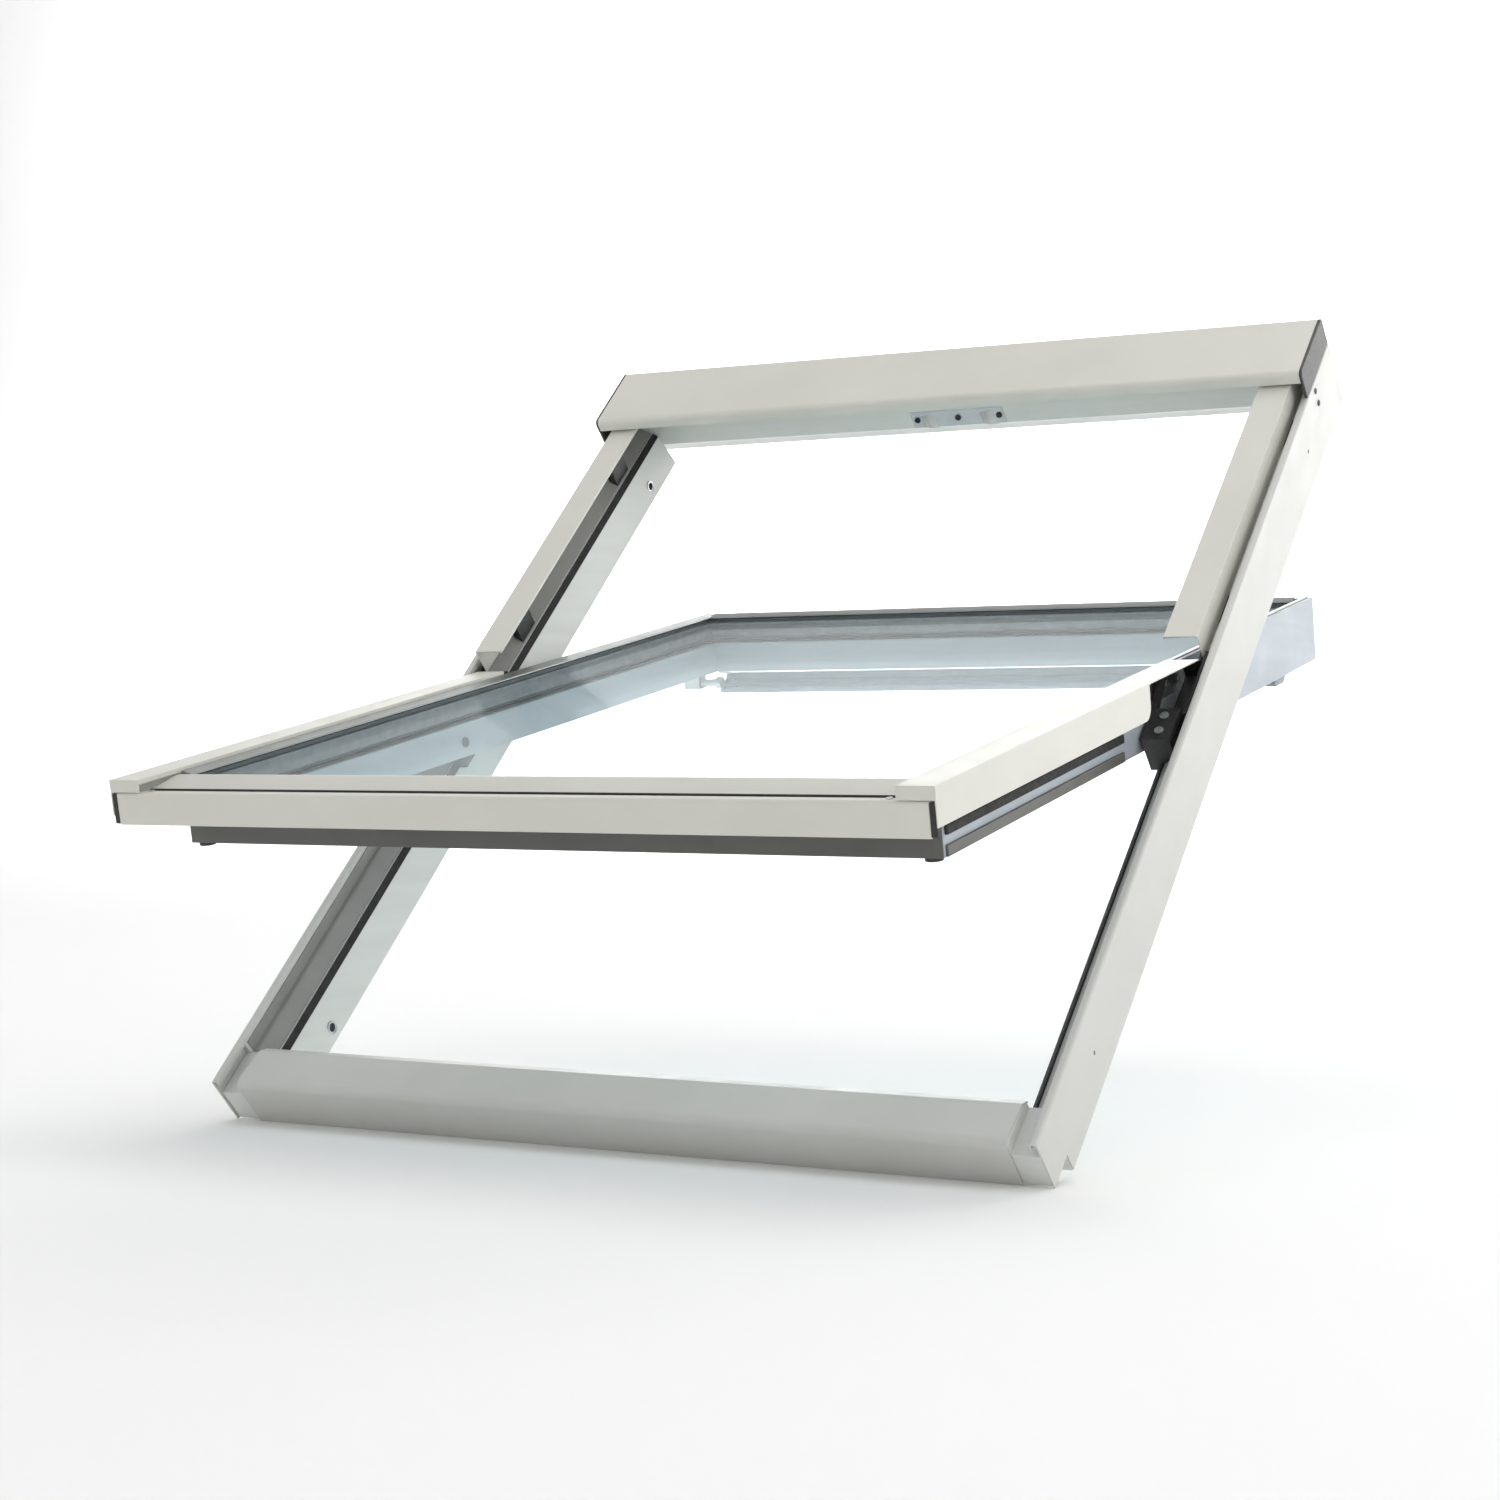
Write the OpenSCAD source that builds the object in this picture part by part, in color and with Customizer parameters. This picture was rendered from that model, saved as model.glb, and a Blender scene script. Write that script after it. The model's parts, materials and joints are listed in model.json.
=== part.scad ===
// Centre-pivot roof window: an outer frame that lies in the roof slope, and a glazed sash
// that turns about a level axis at mid height and is stored part open.
//
// Every piece is drawn as if the window lay flat: X across the roof, Y up the slope, and
// Z out of the roof, with Z = 0 at the top of the side covers. on_roof() then tilts the
// window to the roof's pitch, and on_sash() also swings the piece open with the sash.
// Left-hand pieces are the right-hand ones mirrored, and left is the side at -X.

/* [Window] */
// Width of the outer frame
frame_w = 780; // [550:10:1340]
// Height of the outer frame, along the slope
frame_h = 978; // [780:2:1600]
// Depth of the frame from the covers' top to the room side
frame_d = 86; // [84:1:120]
// Pitch of the roof
roof_pitch = 44; // [15:1:80]
// Angle at which the sash stands open
open_angle = 33; // [0:1:45]
// Angle from closed at which the sash is bolted for cleaning
cleaning_angle = 160; // [150:1:160]

/* [Frame] */
// Width of a jamb at the room side, with its cladding
jamb_w = 37; // [34:1:60]
// Height of the bottom member, along the slope
sill_h = 48; // [44:1:70]
// Height of the top member, along the slope
head_h = 33; // [30:1:60]
// Thickness of the aluminium cladding
clad_t = 1.5; // [1:0.1:2]
// Width of the cladding's top flange beside the gutter
flange_w = 7; // [5:0.5:9]
// Depth of the cladding's top flange below the covers
flange_z = 15; // [14:0.5:18]
// Depth of the rebate under the outer edge of the bottom member
sill_step_d = 20; // [10:1:26]
// Width of the rebate under the outer edge of the bottom member
sill_step_w = 32; // [10:1:36]

/* [Covers] */
// Thickness of the cover sheet
cover_t = 1.2; // [0.8:0.1:1.4]
// Width of a side cover
cover_w = 31; // [28:0.5:40]
// Gutter between a side cover and the cladding's flange
gutter_w = 7; // [5:0.5:9]
// Depth of a side cover's outer flange
cover_d = 30; // [16:0.5:31]
// Open joint between the sash's cover and the frame's cover
cover_joint = 8; // [8:0.5:12]
// Height of the top casing, along the slope
casing_h = 87; // [70:1:110]
// Rise of the top casing above the covers
casing_rise = 15; // [10:1:24]
// Thickness of the casing's end caps
cap_t = 3; // [2:0.5:5]
// Depth of the bottom cover's front below the covers' top
bottom_cover_d = 38; // [34:1:44]

/* [Sash] */
// Running gap between a jamb and the sash
sash_gap = 4; // [4:0.5:5]
// Gap between the sash and the frame's top member
head_gap = 5; // [5:0.5:8]
// Gap between the sash and the frame's bottom member
sill_gap = 9; // [9:0.5:14]
// Width of a sash member
stile_w = 21; // [20:1:34]
// Depth of the sash members below the covers' top
sash_d = 66; // [64:1:70]
// Width of the timber left beside the pane
rebate_w = 6; // [5:0.5:8]
// Distance of the pivot above the middle of the frame
pivot_rise = 13; // [10:1:16]
// Depth of the pivot below the covers' top
pivot_z = 6; // [6:0.1:6.4]
// Radius of the pivot pin
pin_r = 2.5; // [2:0.1:2.6]

/* [Glass] */
// Thickness of each pane
pane_t = 4; // [3:0.5:5]
// Space between the panes
pane_space = 16; // [10:1:17]
// Depth of the outer pane below the covers' top
pane_z = 8; // [7:0.5:9]
// Width of the spacer bar between the panes
spacer_w = 7; // [5:0.5:8]
// Length of the outer pane past the bottom member
pane_drip = 13; // [8:1:14]

/* [Control bar] */
// Clear distance of the bar's ends from the sash stiles
bar_end_gap = 14; // [14:1:60]
// Height of the bar, along the sash
bar_h = 33; // [28:1:36]
// Depth of the bar below the sash
bar_d = 19; // [17:1:24]
// Angle that the bar is pulled to open the latch
bar_swing = 45; // [30:1:45]
// Travel of the latch bolt
latch_travel = 8; // [7:0.5:9]
// Half the distance between the two latch prongs
prong_x = 33; // [24:1:40]

/* [Cleaning bolt] */
// Radius of the barrel bolt
bolt_r = 4; // [3:0.5:4.5]
// Travel of the barrel bolt
bolt_travel = 14; // [12:1:16]
// Distance of the barrel bolt from the top of the sash
bolt_drop = 52; // [48:1:80]

/* [Mounting] */
// Radius of the pilot holes for the installation brackets
bracket_hole_r = 2; // [1.5:0.1:3]
// Depth of the pilot holes
bracket_hole_l = 20; // [12:1:26]
// Distance of the pilot holes from the frame's ends
bracket_hole_u = 120; // [80:5:200]
// Depth of the pilot holes below the covers' top
bracket_hole_z = 52; // [44:1:60]

/* [Hidden] */
$fn = 48;

// Clearances and small sizes
slack = 0.2;            // between pieces that are fitted together
pin_slack = 0.05;       // radial, between a pin and what turns on it
over = 1;               // how far a cut runs past the face it opens

// Stations across the window, measured from the middle to the right
half_w = frame_w / 2;
clad_in = half_w - clad_t;
gutter_out = half_w - flange_w;
cover_out = gutter_out - gutter_w;
cover_in = cover_out - cover_w;
jamb_in = half_w - jamb_w;
stile_out = jamb_in - sash_gap;
stile_in = stile_out - stile_w;
rebate_in = stile_out - rebate_w;
pane_half = rebate_in - 2;
profile_in = stile_in + 5;

// Stations up the slope
head_u = frame_h - head_h;
sash_top = head_u - head_gap;
sash_bottom = sill_h + sill_gap;
top_in = sash_top - stile_w + 1;
bottom_in = sash_bottom + stile_w;
pane_top = sash_top - rebate_w - 2;
pane_bottom = sash_bottom - pane_drip;
casing_u = frame_h - casing_h;
pivot_u = frame_h / 2 + pivot_rise;
lower_cover_end = pivot_u + 31;
upper_cover_start = lower_cover_end + cover_joint;

// Levels, counted down from the covers' top
stile_top = -4;
pane_back = -pane_z - 2 * pane_t - pane_space;
bed_t = 2;
bed_z = pane_back - bed_t;
sill_face_z = -44;      // level of the window's origin on the bottom member's front face
sill_clad_top = -flange_z - 2;

// ---- placing and drawing helpers ----

// Tilts a flat piece to the roof's pitch about the middle of the frame's lower edge.
module on_roof() {
    rotate([roof_pitch, 0, 0]) translate([0, 0, -sill_face_z]) children();
}

// Swings a flat piece open with the sash, about the pivot axis.
module on_sash() {
    on_roof() translate([0, pivot_u, -pivot_z]) rotate([-open_angle, 0, 0])
        translate([0, -pivot_u, pivot_z]) children();
}

module both_sides() {
    children();
    mirror([1, 0, 0]) children();
}

module left() {
    mirror([1, 0, 0]) children();
}

// A section drawn as [across, height], run up the slope from u0 to u1.
module along_slope(u0, u1) {
    translate([0, u1, 0]) rotate([90, 0, 0]) linear_extrude(u1 - u0) children();
}

// A section drawn as [up the slope, height], run across from x0 to x1.
module across(x0, x1) {
    translate([x0, 0, 0]) rotate([90, 0, 90]) linear_extrude(x1 - x0) children();
}

module block(low, high) {
    translate(low) cube(high - low);
}

// A cylinder along X from x0 to x1 at [u, z].
module rod(r, x0, x1, u, z) {
    translate([x0, u, z]) rotate([0, 90, 0]) cylinder(r = r, h = x1 - x0);
}

// A flat-headed screw that points down the -Z axis from its head.
module screw(head_r, head_h, shank_r, shank_l) {
    cylinder(r = head_r, h = head_h);
    translate([0, 0, -shank_l]) cylinder(r = shank_r, h = shank_l);
}

// Sheet metal: a path of bends thickened to the left of its travel.
function unit(v) = v / norm(v);
function side_of(v) = [-v[1], v[0]];
function edge_side(path, i) = side_of(unit(path[i + 1] - path[i]));
function shifted(path, d) = [
    for (i = [0 : len(path) - 1])
        let (a = edge_side(path, max(i - 1, 0)))
        let (b = edge_side(path, min(i, len(path) - 2)))
        path[i] + d * (a + b) / (1 + a * b)
];
function reversed(list) = [for (i = [len(list) - 1 : -1 : 0]) list[i]];
function sheet(path, t) = concat(path, reversed(shifted(path, t)));

// A quarter bend of radius r about centre c, from angle a0 to a1 in even steps.
function bend(c, r, a0, a1, steps = 4) = [
    for (i = [0 : steps]) c + r * [cos(a0 + (a1 - a0) * i / steps), sin(a0 + (a1 - a0) * i / steps)]
];

// ---- frame: timber ----

rail_t = 1.2;
rail_top = -flange_z - 5.8;
gutter_z = -cover_d - 2.8;
shoulder_z = gutter_z - 11.2;
// Gutter rail's upper face, from the cladding down to the jamb's shoulder
rail_path = [
    [gutter_out - 0.5, rail_top - 0.4],
    [gutter_out - 0.5, gutter_z],
    [cover_out + 2, gutter_z],
    [jamb_in + 13, shoulder_z + 1.2]
];
rail_under = shifted(rail_path, rail_t);
gasket_path = [[jamb_in + 12.2, shoulder_z - 0.4], [jamb_in + 7, shoulder_z - 5]];

module jamb_section() {
    polygon([
        [clad_in - slack, -frame_d],
        [clad_in - slack, rail_under[0][1]],
        rail_under[0], rail_under[1], rail_under[2], rail_under[3],
        gasket_path[1],
        [jamb_in, -frame_d]
    ]);
}

housing_u0 = pivot_u - 74;
housing_u1 = pivot_u + 43;
housing_x1 = cover_out + 4;
housing_z0 = -50;

// Space that the hinge housing fills in the jamb
module housing_pocket(extra) {
    block([jamb_in - 10, housing_u0 - extra, housing_z0 - extra],
          [housing_x1 + extra, housing_u1 + extra, over]);
}

drill_point = 0.6;      // height of a drilled hole's point, as a share of its radius

module bracket_holes() {
    for (u = [bracket_hole_u, frame_h - bracket_hole_u]) {
        rod(bracket_hole_r, half_w - bracket_hole_l, half_w + over, u, -bracket_hole_z);
        translate([half_w - bracket_hole_l, u, -bracket_hole_z]) rotate([0, -90, 0])
            cylinder(r1 = bracket_hole_r, r2 = 0, h = drill_point * bracket_hole_r);
    }
}

casing_screw_u = frame_h - 64;
casing_screw_z = [-24, -38];
casing_screw_r = 1.5;
casing_screw_l = 6;

module casing_screw_holes() {
    for (z = casing_screw_z)
        rod(casing_screw_r + pin_slack, half_w - casing_screw_l - slack, half_w + over,
            casing_screw_u, z);
}

module jamb() {
    difference() {
        along_slope(sill_h, head_u) jamb_section();
        housing_pocket(slack);
        bracket_holes();
        casing_screw_holes();
    }
}

// Places on the left jamb where the barrel bolt arrives: one with the sash closed, and one
// with the sash turned for cleaning
bolt_u = sash_top - bolt_drop;
bolt_z = -sash_d - 7;
bolt_arm = [bolt_u - pivot_u, bolt_z + pivot_z];
function turned(v, a) = [v[0] * cos(a) + v[1] * sin(a), v[1] * cos(a) - v[0] * sin(a)];
bush_places = [for (a = [0, cleaning_angle]) [pivot_u, -pivot_z] + turned(bolt_arm, a)];
bush_r = bolt_r + 2;
bush_l = 14;

module frame_left_jamb() color("whitesmoke") on_roof() left() difference() {
    jamb();
    for (at = bush_places)
        rod(bush_r + pin_slack, jamb_in - over, jamb_in + bush_l + slack, at[0], at[1]);
}

module frame_right_jamb() color("whitesmoke") on_roof() jamb();

sill_nose_r = 7;
sill_half = jamb_in + 11;

module frame_bottom_member() color("whitesmoke") on_roof() difference() {
    across(-clad_in + slack, clad_in - slack) polygon(concat(
        [[clad_t + slack, -frame_d + sill_step_d]],
        bend([sill_nose_r, sill_clad_top - sill_nose_r], sill_nose_r - clad_t - slack, 180, 90),
        [
            [sill_h - 6.5, sill_clad_top - clad_t - slack - 4],
            [sill_h, sill_clad_top - clad_t - slack - 9],
            [sill_h, -frame_d],
            [sill_step_w, -frame_d],
            [sill_step_w, -frame_d + sill_step_d]
        ]
    ));
    both_sides() block([sill_half + slack, -over, -cover_d - 2], [half_w, sill_h + over, 0]);
}

prong_w = 10;
prong_t = 6;
prong_z = -50;
prong_reach = 7;
notch_gap = 2;

module frame_top_member() color("whitesmoke") on_roof() difference() {
    across(-clad_in + slack, clad_in - slack) polygon([
        [head_u, -60],
        [head_u, -22],
        [frame_h - clad_t - slack, -22],
        [frame_h - clad_t - slack, -frame_d],
        [head_u + min(33, head_h - 8), -frame_d],
        [head_u + 16, -74]
    ]);
    both_sides() block([prong_x - prong_w / 2 - notch_gap, head_u - over, -frame_d - over],
                       [prong_x + prong_w / 2 + notch_gap, head_u + prong_reach + 3, prong_z + 7]);
    block([-striker_w / 2 - slack, head_u - over, striker_z0 - slack],
          [striker_w / 2 + slack, head_u + striker_t, striker_z1 + slack]);
}

striker_w = 104;
striker_t = 1.5;
striker_z0 = -60;
striker_z1 = -40;

module striker_plate() color("silver") on_roof() difference() {
    block([-striker_w / 2, head_u, striker_z0], [striker_w / 2, head_u + striker_t, striker_z1]);
    both_sides() block([prong_x - prong_w / 2 - notch_gap, head_u - over, striker_z0 - over],
                       [prong_x + prong_w / 2 + notch_gap, head_u + striker_t + over, prong_z + 5]);
    for (x = [-striker_w / 2 + 6, 0, striker_w / 2 - 6])
        translate([x, head_u - over, prong_z]) rotate([-90, 0, 0])
            cylinder(r = 2, h = striker_t + 2 * over);
}

module striker_screws() color("dimgray") on_roof()
    for (x = [-striker_w / 2 + 6, 0, striker_w / 2 - 6])
        translate([x, head_u, prong_z]) rotate([90, 0, 0]) screw(3.2, 1.4, 1.9, striker_t);

module bolt_bushes() color("dimgray") on_roof() left()
    for (at = bush_places)
        difference() {
            rod(bush_r, jamb_in + 2, jamb_in + bush_l, at[0], at[1]);
            rod(bolt_r + 0.1, jamb_in + 1, jamb_in + bush_l - 2, at[0], at[1]);
        }

// ---- frame: cladding ----

module side_cladding() difference() {
    along_slope(0, frame_h - clad_t - slack) polygon(sheet([
        [half_w, -frame_d + 2],
        [half_w, -flange_z],
        [gutter_out, -flange_z],
        [gutter_out, rail_top]
    ], clad_t));
    block([0, -over, -frame_d], [half_w + over, sill_step_w, -frame_d + sill_step_d]);
    bracket_holes();
    casing_screw_holes();
}

module left_cladding() color("gainsboro") on_roof() left() side_cladding();
module right_cladding() color("gainsboro") on_roof() side_cladding();

module bottom_cladding() color("gainsboro") on_roof()
    across(-sill_half, sill_half) polygon(sheet(concat(
        [[0, -frame_d + sill_step_d]],
        bend([sill_nose_r, sill_clad_top - sill_nose_r], sill_nose_r, 180, 90),
        [[sill_h - 6, sill_clad_top - 4], [sill_h + 1.7, sill_clad_top - 10]]
    ), -clad_t));

module top_cladding() color("gainsboro") on_roof() difference() {
    across(-half_w, half_w) polygon(sheet([
        [frame_h, -frame_d + 2],
        [frame_h, -flange_z],
        [frame_h - 24, -flange_z]
    ], clad_t));
    both_sides() block([gutter_out - slack, frame_h - 30, -flange_z - 8],
                       [half_w + over, frame_h - clad_t, over]);
}

module gutter_rail() difference() {
    along_slope(sill_h + 3, head_u - 2) polygon(sheet(rail_path, rail_t));
    housing_pocket(slack);
}

module left_gutter_rail() color("dimgray") on_roof() left() gutter_rail();
module right_gutter_rail() color("dimgray") on_roof() gutter_rail();

// Compression gasket on the jamb's shoulder, cut at the hinge housing
module frame_gasket() difference() {
    along_slope(sill_h + 3, head_u - 2) polygon(sheet(gasket_path, -2));
    housing_pocket(slack);
}

module left_frame_gasket() color("black") on_roof() left() frame_gasket();
module right_frame_gasket() color("black") on_roof() frame_gasket();
module top_frame_gasket() color("black") on_roof()
    block([-jamb_in - 6, head_u - 2, -34], [jamb_in + 6, head_u, -30]);

// ---- frame: covers and casing ----

module side_cover_section(lip_z) {
    polygon(sheet([
        [cover_out, -cover_d],
        [cover_out, 0],
        [cover_in, 0],
        [cover_in, lip_z]
    ], cover_t));
}

module upper_cover() {
    along_slope(upper_cover_start, frame_h - 36) intersection() {
        side_cover_section(stile_top + 1.5);
        translate([0, -cover_d + 2]) square([half_w, cover_d]);
    }
}

module left_upper_cover() color("ivory") on_roof() left() upper_cover();
module right_upper_cover() color("ivory") on_roof() upper_cover();

// Plastic clips that carry the upper covers on the gutter rails
module cover_clips() color("black") on_roof() both_sides()
    for (u = [upper_cover_start + 60, casing_u - 40])
        along_slope(u, u + 30) polygon([
            [cover_out - cover_t - slack, -cover_t],
            [cover_out - cover_t - 10, -cover_t],
            shifted(rail_path, -0.05)[3] + [1, 0.9],
            [cover_out - cover_t - slack, gutter_z - 2]
        ]);

module casing_path_section() {
    polygon(sheet(concat(
        [[frame_h, -flange_z]],
        bend([frame_h - 4, casing_rise - 4], 4, 0, 90),
        bend([casing_u + 6, casing_rise - 6], 6, 90, 180),
        [[casing_u, 2.5], [casing_u + 6, 2.5]]
    ), cover_t));
}

module top_casing() color("ivory") on_roof()
    across(-half_w + cap_t, half_w - cap_t) casing_path_section();

module casing_cap() {
    across(half_w - cap_t, half_w) polygon(concat(
        [[frame_h, -flange_z]],
        bend([frame_h - 4, casing_rise - 4], 4, 0, 90),
        bend([casing_u + 6, casing_rise - 6], 6, 90, 180),
        [[casing_u, -flange_z]]
    ));
}

module left_casing_cap() color("dimgray") on_roof() left() casing_cap();
module right_casing_cap() color("dimgray") on_roof() casing_cap();

module casing_screws() color("dimgray") on_roof() both_sides()
    for (z = casing_screw_z)
        translate([half_w, casing_screw_u, z]) rotate([0, 90, 0])
            screw(3, 0.8, casing_screw_r, casing_screw_l);

// ---- hinge ----

eye_r = pivot_z - cover_t - 0.3;
eye_t = 4;
eye_x0 = jamb_in - 1;
pin_end = eye_x0 + eye_t + 1.6;

// Plastic housing let into the jamb: a block with the pivot's eye, and a trough beside it
// that the end of the sash's cover dips into
module hinge_housing() {
    wall = 2.5;
    block_u1 = pivot_u - 36;
    difference() {
        union() {
            block([eye_x0, housing_u0, housing_z0], [housing_x1 - 3, block_u1, -14]);
            block([jamb_in, block_u1, housing_z0], [housing_x1, housing_u1, housing_z0 + wall]);
            block([housing_x1 - wall, block_u1, housing_z0], [housing_x1, housing_u1, rail_top]);
            block([jamb_in, housing_u1 - wall, housing_z0], [housing_x1, housing_u1, -cover_d]);
            across(eye_x0, eye_x0 + eye_t) polygon([
                [pivot_u - 0.5, -pivot_z + eye_r - 0.05],
                [pivot_u - 40, -14],
                [pivot_u - 40, -pivot_z - 16],
                [pivot_u + 0.5, -pivot_z - eye_r + 0.05]
            ]);
            rod(eye_r, eye_x0, eye_x0 + eye_t, pivot_u, -pivot_z);
        }
        rod(pin_r + pin_slack, eye_x0 - over, eye_x0 + eye_t + over, pivot_u, -pivot_z);
        for (u = housing_screw_u)
            translate([housing_x1 - 14, u, housing_z0 - over]) cylinder(r = 2.2, h = 60);
    }
}

housing_screw_u = [housing_u0 + 10, housing_u0 + 28];

module left_hinge_housing() color("black") on_roof() left() hinge_housing();
module right_hinge_housing() color("black") on_roof() hinge_housing();

module frame_hinge_screws() color("silver") on_roof() both_sides()
    for (u = housing_screw_u)
        translate([housing_x1 - 14, u, -14]) screw(4, 2, 2.1, -housing_z0 - 14);

plate_t = 2.5;
plate_l = 124;

// Outline of the sash's hinge plate with an eye that reaches the pivot
module hinge_plate_shape(extra, depth) {
    block([stile_out - depth, pivot_u - plate_l / 2 - extra, -30 - extra],
          [stile_out, pivot_u + plate_l / 2 + extra, -10 + extra]);
    block([stile_out - depth, pivot_u - 5 - extra, -20],
          [stile_out, pivot_u + 5 + extra, -pivot_z]);
    rod(eye_r + extra, stile_out - depth, stile_out, pivot_u, -pivot_z);
}

plate_screw_u = [pivot_u - 50, pivot_u - 22, pivot_u + 22, pivot_u + 50];

module hinge_plate() difference() {
    hinge_plate_shape(0, plate_t);
    rod(pin_r + 0.02, stile_out - plate_t - over, stile_out + over, pivot_u, -pivot_z);
    for (u = plate_screw_u)
        rod(2.2, stile_out - plate_t - over, stile_out + over, u, -20);
}

module left_hinge_plate() color("silver") on_sash() left() hinge_plate();
module right_hinge_plate() color("silver") on_sash() hinge_plate();

module sash_hinge_screws() color("gray") on_sash() both_sides()
    for (u = plate_screw_u) {
        rod(2.1, stile_out - plate_t, stile_out, u, -20);
        rod(3.8, stile_out, stile_out + 1.2, u, -20);
    }

// Pivot pin, riveted in the sash's plate, with a retaining collar beyond the housing's eye
module pivot_pin() {
    rod(pin_r, stile_out - plate_t, pin_end, pivot_u, -pivot_z);
    rod(pin_r + 1.4, eye_x0 + eye_t + 0.3, pin_end, pivot_u, -pivot_z);
}

module left_pivot_pin() color("silver") on_sash() left() pivot_pin();
module right_pivot_pin() color("silver") on_sash() pivot_pin();

module friction_washers() color("black") on_sash() both_sides() difference() {
    rod(eye_r - 0.2, stile_out, eye_x0 - 0.15, pivot_u, -pivot_z);
    rod(pin_r + pin_slack, stile_out - over, eye_x0, pivot_u, -pivot_z);
}

// ---- sash: timber ----

module stile() difference() {
    along_slope(sash_bottom, sash_top) polygon([
        [stile_in, -sash_d],
        [stile_out, -sash_d],
        [stile_out, stile_top],
        [rebate_in, stile_top],
        [rebate_in, bed_z],
        [stile_in, bed_z]
    ]);
    hinge_plate_shape(slack, plate_t);
    block([0, 0, bed_z], [rebate_in, sash_bottom + over, 0]);
}

module sash_left_stile() color("aliceblue") on_sash() left() stile();
module sash_right_stile() color("aliceblue") on_sash() stile();

module sash_bottom_member() color("aliceblue") on_sash()
    block([-stile_in, sash_bottom, -sash_d], [stile_in, bottom_in, bed_z]);

latch_u0 = sash_top - 16;
latch_z = [prong_z - 7, prong_z + 7];
latch_w = 2 * prong_x + prong_w + 14;

module sash_top_member() color("aliceblue") on_sash() difference() {
    across(-stile_in, stile_in) polygon([
        [top_in, -sash_d],
        [sash_top, -sash_d],
        [sash_top, stile_top],
        [sash_top - rebate_w, stile_top],
        [sash_top - rebate_w, bed_z],
        [top_in, bed_z]
    ]);
    block([-latch_w / 2 - slack, latch_u0 - slack, latch_z[0] - slack],
          [latch_w / 2 + slack, sash_top + over, latch_z[1] + slack]);
}

// ---- sash: glazing ----

module outer_pane() color([0.75, 0.88, 0.88, 0.4]) on_sash()
    block([-pane_half, pane_bottom, -pane_z - pane_t], [pane_half, pane_top, -pane_z]);

inner_pane_bottom = sash_bottom + 1;

module inner_pane() color([0.75, 0.88, 0.88, 0.4]) on_sash()
    block([-pane_half, inner_pane_bottom, pane_back], [pane_half, pane_top, pane_back + pane_t]);

// A rectangular ring of the pane's outline, inset by edge and as wide as w
module pane_ring(edge, w, z0, z1) difference() {
    block([-pane_half + edge, inner_pane_bottom + edge, z0],
          [pane_half - edge, pane_top - edge, z1]);
    block([-pane_half + edge + w, inner_pane_bottom + edge + w, z0 - over],
          [pane_half - edge - w, pane_top - edge - w, z1 + over]);
}

module pane_spacer() color("gray") on_sash()
    pane_ring(2, spacer_w, pane_back + pane_t, -pane_z - pane_t);

module pane_bed() color("black") on_sash() pane_ring(0.5, 8, bed_z, pane_back);

gasket_t = 1;

module pane_gasket() color("black") on_sash() difference() {
    block([-pane_half + 1, pane_bottom + 1, -pane_z],
          [pane_half - 1, pane_top - 1, -pane_z + gasket_t]);
    block([-profile_in - 1, pane_bottom + 5, -pane_z - over],
          [profile_in + 1, top_in + 6, -pane_z + gasket_t + over]);
}

profile_low = -pane_z + gasket_t;

// Glazing profile as [distance from its inner edge, level]; it hooks over the timber
module glazing_profile_section(reach) {
    polygon([
        [0, profile_low],
        [0.4, profile_low + 1.4],
        [reach - 2.6, stile_top + 1.2],
        [reach, stile_top + 1.2],
        [reach, stile_top],
        [reach - 1.8 - 0.5, stile_top],
        [reach - 1.8 - 0.5, profile_low]
    ]);
}

side_reach = cover_in - slack - profile_in;

module side_glazing_profile()
    along_slope(pane_bottom + 5, sash_top) translate([profile_in, 0])
        glazing_profile_section(side_reach);

module left_glazing_profile() color("silver") on_sash() left() side_glazing_profile();
module right_glazing_profile() color("silver") on_sash() side_glazing_profile();

module top_glazing_profile() color("silver") on_sash()
    across(-profile_in + slack, profile_in - slack) translate([top_in + 5, 0])
        glazing_profile_section(sash_top - rebate_w - top_in - 5
                                + side_reach - rebate_in + profile_in);

carrier_top = -pane_z - pane_t - bed_t / 2;
carrier_t = 1.5;
groove_w = 3;
groove_u = 6.5;         // where the bottom cover starts, in front of the groove
cover_top = -10.8;
cover_front = -4.5;     // the cover hangs in front of the frame

module bottom_glazing_profile() color("silver") on_sash()
    across(-cover_in + slack, cover_in - slack) polygon([
        [pane_bottom + 5, profile_low],
        [pane_bottom + 4, profile_low + 1.5],
        [pane_bottom - 2, profile_low + 2],
        [groove_u + groove_w, cover_top],
        [groove_u + groove_w, carrier_top],
        [groove_u + groove_w + 2, carrier_top],
        [groove_u + groove_w + 2, cover_top - 1],
        [pane_bottom - 1, profile_low]
    ]);

// Drip profile on the bottom member: carries the outer pane's edge and the bottom cover
module sash_bottom_profile() color("dimgray") on_sash()
    across(-stile_out, stile_out) polygon(sheet([
        [sash_bottom - carrier_t, -sash_d],
        [sash_bottom - carrier_t, carrier_top - carrier_t],
        [-1, carrier_top - carrier_t]
    ], -carrier_t));

bottom_cover_half = cover_out - cover_t - 5;

cover_screw = [cover_in - 8, 2.2, cover_top];

module bottom_cover() color("ivory") on_sash() difference() {
    across(-bottom_cover_half, bottom_cover_half) polygon(sheet([
        [groove_u, carrier_top],
        [groove_u, cover_top],
        [cover_front + 2, cover_top],
        [cover_front, cover_top - 2],
        [cover_front, -bottom_cover_d],
        [cover_front + 2.7, -bottom_cover_d]
    ], cover_t));
    both_sides() translate(cover_screw - [0, 0, 4]) cylinder(r = 1.3, h = 5);
}

module bottom_cover_screws() color("silver") on_sash() both_sides()
    translate(cover_screw) screw(2.4, 1, 1.2, cover_top - carrier_top);

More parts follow.
